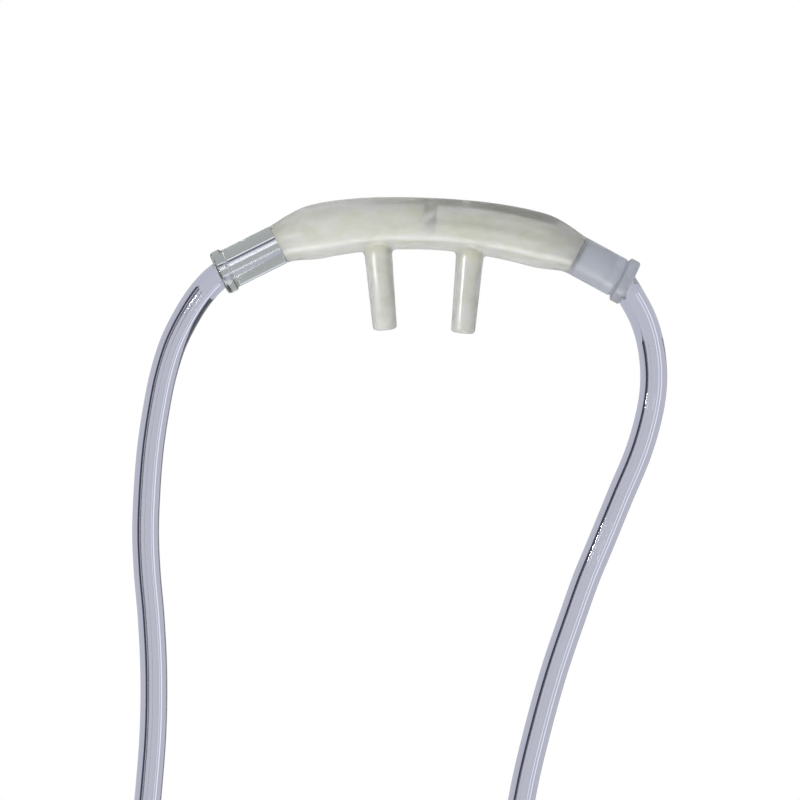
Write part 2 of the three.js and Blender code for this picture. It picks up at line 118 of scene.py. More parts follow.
LEFT_OUTWARD = -Vector((math.cos(LEFT_SLOPE), math.sin(LEFT_SLOPE), 0))
RIGHT_OUTWARD = Vector((math.cos(RIGHT_SLOPE), -math.sin(RIGHT_SLOPE), 0))

# Nasal piece
SHOULDER_EASE = 0.8
DEPTH_SHARE = 0.75
FLOOR_CLEARANCE = 0.05 * MM
CHANNEL_DIAMETER = 4.8 * MM
SEPTUM = 2.4 * MM
SEPTUM_X = 0.8 * MM
PRONG_SPACING = 17.9 * MM
PRONG_CENTRE_X = -0.25 * MM
PRONG_TOE_IN = math.radians(5.1)
PRONG_LENGTH = 19.6 * MM
PRONG_DROOP = 1.2 * MM
PRONG_ROOT_DIAMETER = 5.4 * MM
PRONG_TIP_DIAMETER = 4.5 * MM
PRONG_TIP_ROUND = 0.5 * MM
PRONG_SURFACE = 4.6 * MM
PRONG_FLARE = 0.35 * MM
BLEND_VOXEL = 0.24 * MM

# Adapters
LEFT_ADAPTER_LENGTH = 12.4 * MM
RIGHT_ADAPTER_LENGTH = 11.2 * MM
LEFT_FLANGE_DIAMETER = 8.4 * MM
RIGHT_FLANGE_DIAMETER = 8.7 * MM
FLANGE_THICKNESS = 2.2 * MM
CHAMBER_START = 0.7 * MM
CHAMBER_END = 6.6 * MM
CHAMBER_RADIUS = 2.7 * MM
CHAMBER_CONE = 0.4 * MM
SPIGOT_LENGTH = 6 * MM
SPIGOT_FIT = 0.15 * MM
JOINT_GAP = 0.1 * MM
JOINT_DEPTH = 0.7 * MM
GROOVE_WIDTH = 0.5 * MM
GROOVE_DEPTH = 0.25 * MM

# Joints: how far a tube's end goes into its adapter, and its connector's socket
LEFT_JOINT = 0.6 * MM
RIGHT_JOINT = 1.6 * MM
SOCKET_DEPTH = 6 * MM
TUBE_FIT = 0.08 * MM
SOCKET_PLAY = 0.3 * MM

# Oxygen connector: a sleeve for the tube, a waist, and a ribbed flare round the inlet
OXYGEN_LENGTH = 38 * MM
SLEEVE_LENGTH = 14 * MM
SLEEVE_RADIUS = 4 * MM
WAIST_START = 16.4 * MM
WAIST_END = 25 * MM
WAIST_RADIUS = 4.7 * MM
FLARE_START = 27.4 * MM
FLARE_RADIUS = 6.2 * MM
GRIP_RINGS = 5
GRIP_END = 36.8 * MM
GRIP_HEIGHT = 0.45 * MM
INLET_RADIUS = 3.7 * MM
INLET_FLOOR = 20 * MM
INLET_TAPER = 2.4 * MM
OXYGEN_BORE_RADIUS = 1.5 * MM

# Luer connector: a barrel for the tube, a ribbed collar, and the tapered tip inside it
LUER_LENGTH = 28.1 * MM
BARREL_LENGTH = 15 * MM
BARREL_RADIUS = 3.8 * MM
COLLAR_START = 17 * MM
COLLAR_END = 26 * MM
COLLAR_RADIUS = 4.95 * MM
COLLAR_INSIDE = 4 * MM
COLLAR_FLOOR = 18.5 * MM
COLLAR_RIBS = 18
RIB_RADIUS = 0.32 * MM
RIB_INSET = 0.6 * MM
TIP_ROOT_RADIUS = 2.25 * MM
TIP_END_RADIUS = 2 * MM
LUER_BORE_RADIUS = 1.2 * MM

# Ties
TIE_WIDTH = 4 * MM
TIE_THICKNESS = 0.8 * MM
TIE_GAP = 0.3 * MM
TIE_CORNER = 1.5 * MM
TIE_ANGLE = math.radians(115)

# Meshes: the stretch of each tube that the camera sees has finer steps
ARCH_SIDES = 64
FILLET_STEPS = 5
TUBE_SIDES = 40
DENSE_STEP = 0.4 * MM
FINE_LENGTH = 125 * MM
FINE_TUBE_STEP = 0.75 * MM
COIL_TUBE_STEP = 2.4 * MM

# Patterns, as features to the metre: haze about 1.4 mm wide, clouds of 3.3 mm, flow lines of 4.5 mm,
# and the strap's grain, which is drawn at 1.1 mm, coarser than the real one, so that it shows
HAZE_SCALE = 700
CLOUD_SCALE = 300
FLOW_SCALE = 220
STRAP_SCALE = 900

# Stage
FLOOR_SIZE = 3
FLOOR_HEIGHT = -0.4 * MM
# The floor as clear pieces see it, greyer and lilac than the white the camera sees: painted shade under
# them
FLOOR_SHADE_SEEN_THROUGH = "#babbc9"
WHITE = "#ffffff"
WORLD_GLOW = 0.6
FLOOR_GLOW = 0.6
FRONT_PLACE = (0.0, -0.5, 0.24)
FRONT_SIZE = (0.5, 0.25)
FRONT_POWER = 1.75
WINDOW_PLACE = (-0.09, -0.004, 0.1)
WINDOW_TARGET = (-0.005, -0.006, 0.004)
WINDOW_SIZE = (0.008, 0.013)
WINDOW_POWER = 0.02
PRONG_WINDOW_SIZE = (0.05, 0.013)
PRONG_WINDOW_POWER = 0.075

# Glowing strips beside the clear pieces, seen only through them: dark ones are painted shadow, bright ones
# painted light, and the grey one painted shade under the clear adapter. Each has two edges, and each edge
# is a distance to the left of the piece's line and a drop below it, or None where it lies at the strips'
# own height.
STRIP_HEIGHT = -0.35 * MM
STRIP_STEP = 1.5 * MM
STRIPS_TO_Y = -0.118
LEFT_STRIPS_FROM_Y = -4.6 * MM
RIGHT_STRIPS_FROM_Y = -13 * MM
PAINTED_SHADOW = "#1d1d30"
PAINTED_LIGHT = "#f1f3ff"
PAINTED_SHADE_BELOW = "#aaaeaf"
DARK_EDGES = ((-3 * MM, None), (-16 * MM, None))
BRIGHT_EDGES = ((2.2 * MM, 1.7 * MM), (3.8 * MM, 1.4 * MM))
UPRIGHT_EDGES = ((-0.65 * MM, 2.52 * MM), (-0.65 * MM, None))
ADAPTER_DARK_EDGES = ((-9 * MM, None), (-32 * MM, None))
ADAPTER_BRIGHT_EDGES = ((-1.6 * MM, None), (-6 * MM, None))
ADAPTER_GREY_EDGES = ((-1.5 * MM, None), (1.6 * MM, None))


def smooth(t):
    t = min(max(t, 0.0), 1.0)
    return t * t * (3 - 2 * t)


def lerp(a, b, t):
    return a + (b - a) * t


def linear(hex_colour):
    """An sRGB hex colour as linear red, green, blue and alpha."""
    channels = [int(hex_colour[i:i + 2], 16) / 255 for i in (1, 3, 5)]
    made = [c / 12.92 if c <= 0.04045 else ((c + 0.055) / 1.055) ** 2.4 for c in channels]
    return (*made, 1.0)


class CannulaSizes(bpy.types.PropertyGroup):
    """Sizes that a user may change."""

    tube_diameter: FloatProperty(
        name="Tube diameter", description="Outside of both tubes",
        default=0.005, unit="LENGTH",
    )
    tube_bore: FloatProperty(
        name="Tube bore", description="Lumen of both tubes",
        default=0.0022, unit="LENGTH",
    )
    coil_diameter: FloatProperty(
        name="Coil diameter", description="Across the middle of a coil's turns",
        default=0.0525, unit="LENGTH",
    )
    turn_pitch: FloatProperty(
        name="Turn pitch", description="Between neighbouring turns",
        default=0.0051, unit="LENGTH",
    )
    coil_columns: IntProperty(
        name="Columns", description="Turns side by side in a coil",
        default=3,
    )
    coil_layers: IntProperty(
        name="Layers", description="Turns on each other in a coil",
        default=4,
    )
    end_diameter: FloatProperty(
        name="End diameter", description="Nasal piece at its end faces",
        default=0.0075, unit="LENGTH",
    )
    shoulder_height: FloatProperty(
        name="Shoulder height", description="Nasal piece at its shoulders",
        default=0.0102, unit="LENGTH",
    )
    middle_height: FloatProperty(
        name="Middle height", description="Nasal piece between the prongs",
        default=0.0096, unit="LENGTH",
    )
    shoulder_inset: FloatProperty(
        name="Shoulder inset", description="From an end face to the shoulder",
        default=0.008, unit="LENGTH",
    )
    spigot_diameter: FloatProperty(
        name="Spigot", description="Part of an adapter inside the nasal piece",
        default=0.0048, unit="LENGTH",
    )
    prong_bore: FloatProperty(
        name="Prong bore", description="Hole through each prong",
        default=0.003, unit="LENGTH",
    )


class CannulaColours(bpy.types.PropertyGroup):
    """Colours that a user may change."""

    nasal_vinyl: FloatVectorProperty(
        name="Nasal vinyl", description="Milky vinyl of the nasal piece",
        subtype="COLOR", size=4, default=linear("#eaebdf"),
    )
    tube_tint: FloatVectorProperty(
        name="Tube tint", description="What a thick wall of the clear tube vinyl lets through",
        subtype="COLOR", size=4, default=linear("#c3cbe7"),
    )


def add_node(tree, kind, settings=None, links=None):
    """Adds a node, sets its properties or sockets by name or number, and links its sockets."""
    node = tree.nodes.new(kind)
    for name, value in (settings or {}).items():
        if isinstance(name, int) or name in node.inputs:
            node.inputs[name].default_value = value
        else:
            setattr(node, name, value)
    for name, source in (links or {}).items():
        tree.links.new(source, node.inputs[name])
    return node


def new_material(name):
    material = bpy.data.materials.new(name)
    material.use_nodes = True
    material.node_tree.nodes.clear()
    return material, material.node_tree


def finish_material(tree, shader, volume=None):
    links = {"Surface": shader.outputs[0]}
    if volume is not None:
        links["Volume"] = volume.outputs[0]
    add_node(tree, "ShaderNodeOutputMaterial", links=links)


def milky_vinyl(colours):
    """Soft moulded vinyl: hazy streaks inside, satin outside, and a painted glow where the prongs join."""
    material, tree = new_material("milky_moulded_vinyl")
    place = add_node(tree, "ShaderNodeTexCoord")
    along = add_node(tree, "ShaderNodeMapping", {
        "Scale": (0.3, 0.5, 1.0),
    }, {"Vector": place.outputs["Object"]})
    cloud = add_node(tree, "ShaderNodeTexNoise", {
        "Scale": HAZE_SCALE, "Detail": 3.0, "Roughness": 0.55,
    }, {"Vector": along.outputs["Vector"]})
    streaks = add_node(tree, "ShaderNodeMapRange", {
        "From Min": 0.35, "From Max": 0.65,
    }, {"Value": cloud.outputs["Fac"]})
    haze = add_node(tree, "ShaderNodeMixRGB", {
        "Color1": linear("#f6f7f3"), "Color2": colours.nasal_vinyl,
    }, {"Fac": streaks.outputs["Result"]})
    colour = haze.outputs["Color"]
    # Painted glow: round each prong root the colour turns brighter and creamier, standing in for light
    # gathered in the thick vinyl
    for root in prong_roots():
        away = add_node(tree, "ShaderNodeVectorMath", {
            "operation": "DISTANCE", 1: tuple(root),
        }, {0: place.outputs["Object"]})
        root_glow_mask = add_node(tree, "ShaderNodeMapRange", {
            "interpolation_type": "SMOOTHSTEP", "From Min": 0.6 * MM, "From Max": 3.6 * MM,
            "To Min": 0.85, "To Max": 0.0,
        }, {"Value": away.outputs["Value"]})
        painted_root_glow = add_node(tree, "ShaderNodeMixRGB", {
            "Color2": linear("#fffbdc"),
        }, {"Fac": root_glow_mask.outputs["Result"], "Color1": colour})
        colour = painted_root_glow.outputs["Color"]
    grain = add_node(tree, "ShaderNodeTexNoise", {
        "Scale": 1 / (0.35 * MM), "Detail": 2.0,
    }, {"Vector": place.outputs["Object"]})
    bump = add_node(tree, "ShaderNodeBump", {
        "Strength": 0.12, "Distance": 0.02 * MM,
    }, {"Height": grain.outputs["Fac"]})
    shader = add_node(tree, "ShaderNodeBsdfPrincipled", {
        "Roughness": 0.24, "IOR": 1.52, "Transmission Weight": 0.68,
        "Subsurface Weight": 1.0, "Subsurface Radius": (1.0, 1.0, 0.85), "Subsurface Scale": 2.0 * MM,
    }, {"Base Color": colour, "Normal": bump.outputs["Normal"]})
    inside = add_node(tree, "ShaderNodeVolumeAbsorption", {"Color": linear("#e8e6cc"), "Density": 15.0})
    finish_material(tree, shader, inside)
    return material


def clear_tube_vinyl(colours):
    """Extruded clear vinyl, glossy, with a faint blue-violet tint that shows through its thickness."""
    material, tree = new_material("clear_extruded_vinyl")
    shader = add_node(tree, "ShaderNodeBsdfPrincipled", {
        "Base Color": linear("#ffffff"), "Roughness": 0.0, "IOR": 1.53, "Transmission Weight": 1.0,
    })
    inside = add_node(tree, "ShaderNodeVolumeAbsorption", {"Color": colours.tube_tint, "Density": 60.0})
    finish_material(tree, shader, inside)
    return material


def clear_moulded_plastic():
    """Clear vinyl moulded hard and glossy, so that like glass it bends the painted shadow and light strips
    beside it into bright and dark lines.
    """
    material, tree = new_material("clear_moulded_plastic")
    shader = add_node(tree, "ShaderNodeBsdfPrincipled", {
        "Base Color": linear("#ffffff"), "Roughness": 0.04, "IOR": 1.55, "Transmission Weight": 1.0,
    })
    inside = add_node(tree, "ShaderNodeVolumeAbsorption", {"Color": linear("#c8d0cc"), "Density": 60.0})
    finish_material(tree, shader, inside)
    return material


def frosted_moulded_plastic():
    """The same vinyl from a blasted mould, which scatters what is seen through it to blue-grey."""
    material, tree = new_material("frosted_moulded_plastic")
    shader = add_node(tree, "ShaderNodeBsdfPrincipled", {
        "Base Color": linear("#f2f5f9"), "Roughness": 0.34, "IOR": 1.55, "Transmission Weight": 0.8,
    })
    inside = add_node(tree, "ShaderNodeVolumeAbsorption", {"Color": linear("#cfd8e2"), "Density": 45.0})
    finish_material(tree, shader, inside)
    return material


def soft_hazy_vinyl():
    """Dipped soft vinyl of the oxygen connector: nearly clear, with faint clouds in it."""
    material, tree = new_material("soft_dipped_vinyl")
    place = add_node(tree, "ShaderNodeTexCoord")
    cloud = add_node(tree, "ShaderNodeTexNoise", {
        "Scale": CLOUD_SCALE, "Detail": 3.0,
    }, {"Vector": place.outputs["Object"]})
    mottle = add_node(tree, "ShaderNodeMixRGB", {
        "Color1": linear("#eef1f0"), "Color2": linear("#e2e7e5"),
    }, {"Fac": cloud.outputs["Fac"]})
    bump = add_node(tree, "ShaderNodeBump", {
        "Strength": 0.1, "Distance": 0.03 * MM,
    }, {"Height": cloud.outputs["Fac"]})
    shader = add_node(tree, "ShaderNodeBsdfPrincipled", {
        "Roughness": 0.25, "IOR": 1.52, "Transmission Weight": 0.55,
    }, {"Base Color": mottle.outputs["Color"], "Normal": bump.outputs["Normal"]})
    inside = add_node(tree, "ShaderNodeVolumeAbsorption", {"Color": linear("#d6dedb"), "Density": 30.0})
    finish_material(tree, shader, inside)
    return material


def polished_polycarbonate():
    """Injection moulded polycarbonate of the luer connector, water clear with faint flow lines."""
    material, tree = new_material("polished_clear_plastic")
    place = add_node(tree, "ShaderNodeTexCoord")
    flow = add_node(tree, "ShaderNodeTexNoise", {
        "Scale": FLOW_SCALE, "Detail": 1.0,
    }, {"Vector": place.outputs["Object"]})
    bump = add_node(tree, "ShaderNodeBump", {
        "Strength": 0.05, "Distance": 0.05 * MM,
    }, {"Height": flow.outputs["Fac"]})
    shader = add_node(tree, "ShaderNodeBsdfPrincipled", {
        "Base Color": linear("#ffffff"), "Roughness": 0.06, "IOR": 1.58, "Transmission Weight": 0.95,
    }, {"Normal": bump.outputs["Normal"]})
    inside = add_node(tree, "ShaderNodeVolumeAbsorption", {"Color": linear("#d4dce4"), "Density": 50.0})
    finish_material(tree, shader, inside)
    return material


def white_polythene():
    """Extruded polythene of a coil tie, waxy white and finely mottled."""
    material, tree = new_material("white_polythene_strap")
    place = add_node(tree, "ShaderNodeTexCoord")
    grain = add_node(tree, "ShaderNodeTexNoise", {
        "Scale": STRAP_SCALE, "Detail": 2.0,
    }, {"Vector": place.outputs["Object"]})
    tone = add_node(tree, "ShaderNodeMixRGB", {
        "Color1": linear("#f4f4f2"), "Color2": linear("#e6e7e5"),
    }, {"Fac": grain.outputs["Fac"]})
    bump = add_node(tree, "ShaderNodeBump", {
        "Strength": 0.2, "Distance": 0.02 * MM,
    }, {"Height": grain.outputs["Fac"]})
    shader = add_node(tree, "ShaderNodeBsdfPrincipled", {
        "Roughness": 0.45, "IOR": 1.51, "Subsurface Weight": 0.3, "Subsurface Scale": 0.5 * MM,
    }, {"Base Color": tone.outputs["Color"], "Normal": bump.outputs["Normal"]})
    finish_material(tree, shader)
    return material


def smooth_line(points, step, fine_length=0.0, fine_step=0.0):
    """Points along a smooth curve through some chosen points, at a step that may be finer at first."""
    points = [Vector(p) for p in points]
    before = points[0] * 2 - points[1]
    after = points[-1] * 2 - points[-2]
    guides = [before, *points, after]
    dense = []
    for a, b, c, d in zip(guides, guides[1:], guides[2:], guides[3:]):
        spans = [max((q - p).length, 1e-9) ** 0.5 for p, q in ((a, b), (b, c), (c, d))]
        t1 = spans[0]
        t2 = t1 + spans[1]
        t3 = t2 + spans[2]
        pieces = max(2, math.ceil((c - b).length / DENSE_STEP))
        for i in range(pieces):
            t = lerp(t1, t2, i / pieces)
            p = a.lerp(b, t / t1)
            q = b.lerp(c, (t - t1) / (t2 - t1))
            r = c.lerp(d, (t - t2) / (t3 - t2))
            pq = p.lerp(q, t / t2)
            qr = q.lerp(r, (t - t1) / (t3 - t1))
            dense.append(pq.lerp(qr, (t - t1) / (t2 - t1)))
    dense.append(points[-1])
    return spaced(dense, step, fine_length, fine_step)


def spaced(dense, step, fine_length=0.0, fine_step=0.0):
    """The same line with its points at an even step, or at a finer one along its first stretch."""
    lengths = [0.0]
    for p, q in zip(dense, dense[1:]):
        lengths.append(lengths[-1] + (q - p).length)
    fine_count = round(fine_length / fine_step) if fine_length else 0
    wanted = [fine_step * i for i in range(fine_count)]
    rest = lengths[-1] - fine_step * fine_count
    count = max(2, round(rest / step))
    wanted += [lengths[-1] - rest + rest * i / count for i in range(count + 1)]
    made = []
    place = 0
    for distance in wanted:
        while place < len(dense) - 2 and lengths[place + 1] < distance:
            place += 1
        span = max(lengths[place + 1] - lengths[place], 1e-12)
        made.append(dense[place].lerp(dense[place + 1], (distance - lengths[place]) / span))
    return made


def line_length(line):
    return sum((q - p).length for p, q in zip(line, line[1:]))


def select_only(*objects):
    bpy.ops.object.select_all(action="DESELECT")
    for each in objects:
        each.select_set(True)
    bpy.context.view_layer.objects.active = objects[0]


def swept(name, line, radii, sides, caps=True):
    """A round mesh along a line, with a radius at each of its points."""
    curve = bpy.data.curves.new(name, "CURVE")
    curve.dimensions = "3D"
    curve.twist_mode = "Z_UP"
    curve.bevel_depth = 1.0
    curve.bevel_resolution = (sides - 4) // 2
    curve.use_fill_caps = caps
    spline = curve.splines.new("POLY")
    spline.points.add(len(line) - 1)
    for point, place, radius in zip(spline.points, line, radii):
        point.co = (*place, 1.0)
        point.radius = radius
    piece = bpy.data.objects.new(name, curve)
    bpy.context.collection.objects.link(piece)
    select_only(piece)
    bpy.ops.object.convert(target="MESH")
    return bpy.context.view_layer.objects.active


def add_modifier(piece, kind, settings):
    select_only(piece)
    modifier = piece.modifiers.new(kind.lower(), kind)
    for name, value in settings.items():
        setattr(modifier, name, value)
    bpy.ops.object.modifier_apply(modifier=modifier.name)


def combine(piece, other, operation):
    """Joins or cuts one closed mesh with another, which is then deleted."""
    add_modifier(piece, "BOOLEAN", {"object": other, "operation": operation, "solver": "EXACT"})
    bpy.data.objects.remove(other)


def coil_line(sizes, centre):
    """The turns of a coil, wound counterclockwise from the outer column of the lowest layer."""
    columns, layers, pitch = sizes.coil_columns, sizes.coil_layers, sizes.turn_pitch
    inner = sizes.coil_diameter / 2 - (columns - 1) / 2 * pitch
    shifts = []
    climbs = []
    turn = 0
    for layer in range(layers):
        zone = FIRST_SHIFT - layer * EARLIER_EACH_LAYER
        way = -1 if layer % 2 == 0 else 1
        for _ in range(columns - 1):
            shifts.append((turn * math.tau + zone, way))
            turn += 1
        if layer < layers - 1:
            climbs.append(turn * math.tau + zone - CLIMB_BEFORE_SHIFT)
            turn += 1
    line = []
    for i in range(round((turn * math.tau + COIL_END) / COIL_STEP) + 1):
        wound = i * COIL_STEP
        column = columns - 1 + sum(way * smooth((wound - zone) / MOVE_ZONE) for zone, way in shifts)
        layer = sum(smooth((wound - zone) / MOVE_ZONE) for zone in climbs)
        radius = inner + column * pitch
        angle = COIL_START + wound
        height = COIL_FLOOR + (layer + 0.5) * pitch
        line.append(centre + Vector((radius * math.cos(angle), radius * math.sin(angle), height)))
    return line


def hollow_tube(name, sizes, line):
    """A tube with its lumen: two walls joined by a ring at each end."""
    outer = swept(name, line, [sizes.tube_diameter / 2] * len(line), TUBE_SIDES, caps=False)
    inner = swept(name + "_lumen", line, [sizes.tube_bore / 2] * len(line), TUBE_SIDES, caps=False)
    select_only(inner)
    bpy.ops.object.mode_set(mode="EDIT")
    bpy.ops.mesh.select_all(action="SELECT")
    bpy.ops.mesh.flip_normals()
    bpy.ops.object.mode_set(mode="OBJECT")
    select_only(outer, inner)
    bpy.ops.object.join()
    for end in (line[0], line[-1]):
        bpy.ops.object.mode_set(mode="EDIT")
        bpy.ops.mesh.select_mode(type="EDGE")
        bpy.ops.mesh.select_all(action="DESELECT")
        bpy.ops.mesh.select_non_manifold(extend=False)
        bpy.ops.object.mode_set(mode="OBJECT")
        for edge in outer.data.edges:
            middle = sum((outer.data.vertices[v].co for v in edge.vertices), Vector()) / 2
            if (middle - end).length > sizes.tube_diameter:
                edge.select = False
        bpy.ops.object.mode_set(mode="EDIT")
        bpy.ops.mesh.bridge_edge_loops()
        bpy.ops.object.mode_set(mode="OBJECT")
    return outer


def arch_line(count):
    """Points along the axis of the arch, evenly spaced."""
    left = LEFT_END + ARCH_FULLNESS * Vector((math.cos(LEFT_SLOPE), math.sin(LEFT_SLOPE), 0))
    right = RIGHT_END + ARCH_FULLNESS * Vector((-math.cos(RIGHT_SLOPE), math.sin(RIGHT_SLOPE), 0))
    dense = []
    for i in range(801):
        t = i / 800
        u = 1 - t
        dense.append(LEFT_END * u**3 + left * (3 * u * u * t) + right * (3 * u * t * t) + RIGHT_END * t**3)
    return spaced(dense, line_length(dense) / count)


def distance_at_x(line, x):
    """How far along a line it passes a given X."""
    passed = 0.0
    for p, q in zip(line, line[1:]):
        if p.x <= x <= q.x:
            return passed + (q - p).length * (x - p.x) / (q.x - p.x)
        passed += (q - p).length
    return passed


def point_at(line, distance):
    passed = 0.0
    for p, q in zip(line, line[1:]):
        step = (q - p).length
        if passed + step >= distance:
            return p.lerp(q, (distance - passed) / step)
        passed += step
    return line[-1].copy()


def arch_radius(sizes, distance, length):
    """Half the height of the nasal piece at a distance along its arch."""
    from_end = max(min(distance, length - distance), 0.0)
    inset = sizes.shoulder_inset
    if from_end < inset:
        rise = smooth((from_end / inset) ** SHOULDER_EASE)
        return lerp(sizes.end_diameter, sizes.shoulder_height, rise) / 2
    fall = smooth((from_end - inset) / (length / 2 - inset))
    return lerp(sizes.shoulder_height, sizes.middle_height, fall) / 2


def arch_body(sizes, arch, length):
    """The arched body, run on a little past both of its end faces."""
    run_on = 1.5 * MM
    first = (arch[0] - arch[1]).normalized() * run_on
    last = (arch[-1] - arch[-2]).normalized() * run_on
    line = [arch[0] + first, *arch, arch[-1] + last]
    radii = []
    shares = []
    passed = -run_on
    for i, place in enumerate(line):
        if i:
            passed += (place - line[i - 1]).length
        radius = arch_radius(sizes, passed, length)
        radii.append(radius)
        shares.append(lerp(sizes.end_diameter / 2, radius, DEPTH_SHARE) / radius)
    body = swept("soft_nasal_body", line, radii, ARCH_SIDES, caps=False)
    for vertex in body.data.vertices:
        share = shares[vertex.index // ARCH_SIDES]
        vertex.co.z = AXIS_HEIGHT + (vertex.co.z - AXIS_HEIGHT) * share
    cap_ends(body)
    return body


def cap_ends(piece):
    select_only(piece)
    bpy.ops.object.mode_set(mode="EDIT")
    bpy.ops.mesh.select_all(action="SELECT")
    bpy.ops.mesh.fill_holes(sides=0)
    bpy.ops.mesh.normals_make_consistent(inside=False)
    bpy.ops.object.mode_set(mode="OBJECT")


def prong_line(arch, side):
    """A prong's axis, from the arch's axis to its tip."""
    x = PRONG_CENTRE_X + side * PRONG_SPACING / 2
    base = point_at(arch, distance_at_x(arch, x))
    outward = Vector((-side * math.sin(PRONG_TOE_IN), -math.cos(PRONG_TOE_IN), 0))
    middle = base + outward * PRONG_LENGTH / 2
    tip = base + outward * PRONG_LENGTH - Vector((0, 0, PRONG_DROOP))
    dense = []
    for i in range(201):
        t = i / 200
        dense.append(base * (1 - t) ** 2 + middle * (2 * t * (1 - t)) + tip * t * t)
    return spaced(dense, 0.2 * MM)


def prong_roots():
    """Where each prong leaves the surface of the arch."""
    arch = arch_line(120)
    return [point_at(prong_line(arch, side), PRONG_SURFACE) for side in (-1, 1)]


def prong_body(line):
    """A tapered prong with a flared root and a rounded tip."""
    length = line_length(line)
    radii = []
    for i in range(len(line)):
        along = length * i / (len(line) - 1)
        radius = lerp(PRONG_ROOT_DIAMETER, PRONG_TIP_DIAMETER, along / length) / 2
        flare = math.exp(-max(along - PRONG_SURFACE, 0.0) / PRONG_FLARE)
        radius += PRONG_FLARE * flare
        to_tip = length - along
        if to_tip < PRONG_TIP_ROUND:
            radius -= PRONG_TIP_ROUND - math.sqrt(PRONG_TIP_ROUND**2 - (PRONG_TIP_ROUND - to_tip) ** 2)
        radii.append(radius)
    prong = swept("prong", line, radii, 40, caps=False)
    cap_ends(prong)
    return prong


def cut_flat(piece, place, outward):
    """Cuts off what lies beyond a plane and closes the cut."""
    select_only(piece)
    bpy.ops.object.mode_set(mode="EDIT")
    bpy.ops.mesh.select_all(action="SELECT")
    bpy.ops.mesh.bisect(plane_co=place, plane_no=outward, use_fill=True, clear_outer=True)
    bpy.ops.object.mode_set(mode="OBJECT")


def nasal_piece(sizes):
    """The arched body with its two prongs, moulded in one, and its two channels."""
    arch = arch_line(220)
    length = line_length(arch)
    body = arch_body(sizes, arch, length)
    prong_lines = [prong_line(arch, side) for side in (-1, 1)]
    prongs = [prong_body(line) for line in prong_lines]
    select_only(body, *prongs)
    bpy.ops.object.join()
    add_modifier(body, "REMESH", {"mode": "VOXEL", "voxel_size": BLEND_VOXEL, "adaptivity": 0.0})
    add_modifier(body, "SMOOTH", {"factor": 0.5, "iterations": 9})
    cut_flat(body, arch[0], (arch[0] - arch[1]).normalized())
    cut_flat(body, arch[-1], (arch[-1] - arch[-2]).normalized())
    cut_flat(body, Vector((0, 0, FLOOR_CLEARANCE)), Vector((0, 0, -1)))
    septum = distance_at_x(arch, SEPTUM_X)
    left_arch = [point_at(arch, (septum - SEPTUM / 2) * i / 60) for i in range(61)]
    right_arch = [point_at(arch, lerp(septum + SEPTUM / 2, length, i / 60)) for i in range(61)]
    into_left = (arch[1] - arch[0]).normalized()
    into_right = (arch[-2] - arch[-1]).normalized()
    socket = sizes.spigot_diameter / 2 + SPIGOT_FIT
    cutters = []
    for line, into in ((left_arch, into_left), (list(reversed(right_arch)), into_right)):
        path = [line[0] - into * MM, *line]
        cutters.append(swept("channel", path, [CHANNEL_DIAMETER / 2] * len(path), 40))
        path = [line[0] - into * MM, line[0] + into * (SPIGOT_LENGTH + SPIGOT_FIT)]
        cutters.append(swept("socket", path, [socket] * 2, 40))
    for line in prong_lines:
        path = [*line, line[-1] + (line[-1] - line[-2]).normalized() * MM]
        cutters.append(swept("bore", path, [sizes.prong_bore / 2] * len(path), 36))
    for cutter in cutters:
        weld(cutter)
        combine(body, cutter, "DIFFERENCE")
    weld(body)
    shade_by_angle(body, 38)
    return body


def weld(piece):
    """Merges doubled points and turns all faces outwards."""
    select_only(piece)
    bpy.ops.object.mode_set(mode="EDIT")
    bpy.ops.mesh.select_all(action="SELECT")
    bpy.ops.mesh.remove_doubles(threshold=1e-6)
    bpy.ops.mesh.normals_make_consistent(inside=False)
    bpy.ops.object.mode_set(mode="OBJECT")


def shade_by_angle(piece, degrees):
    select_only(piece)
    bpy.ops.object.shade_smooth_by_angle(angle=math.radians(degrees))


def rounded(corners):
    """A closed profile whose corners, given as distance, radius and fillet, are rounded with arcs."""
    profile = []
    count = len(corners)
    for i, (along, radius, fillet) in enumerate(corners):
        corner = Vector((along, radius))
        before = Vector(corners[i - 1][:2]) - corner
        after = Vector(corners[(i + 1) % count][:2]) - corner
        if fillet <= 0:
            profile.append(corner)
            continue
        half = before.angle(after) / 2
        reach = min(fillet / math.tan(half), before.length * 0.49, after.length * 0.49)
        start = corner + before.normalized() * reach
        end = corner + after.normalized() * reach
        for j in range(FILLET_STEPS + 1):
            t = j / FILLET_STEPS
            profile.append(start * (1 - t) ** 2 + corner * (2 * t * (1 - t)) + end * t * t)
    return profile


def turned(name, profile, start, direction, steps=64):
    """Spins a closed profile of distance and radius about a direction, from a starting place."""
    mesh = bpy.data.meshes.new(name)
    points = [(p.x, p.y, 0.0) for p in profile]
    edges = [(i, (i + 1) % len(points)) for i in range(len(points))]
    mesh.from_pydata(points, edges, [])
    piece = bpy.data.objects.new(name, mesh)
    bpy.context.collection.objects.link(piece)
    select_only(piece)
    bpy.ops.object.mode_set(mode="EDIT")
    bpy.ops.mesh.select_all(action="SELECT")
    bpy.ops.mesh.spin(steps=steps, angle=math.tau, center=(0, 0, 0), axis=(1, 0, 0))
    bpy.ops.object.mode_set(mode="OBJECT")
    weld(piece)
    turn = Vector((1, 0, 0)).rotation_difference(direction).to_matrix().to_4x4()
    piece.data.transform(Matrix.Translation(start) @ turn)
    shade_by_angle(piece, 40)
    return piece


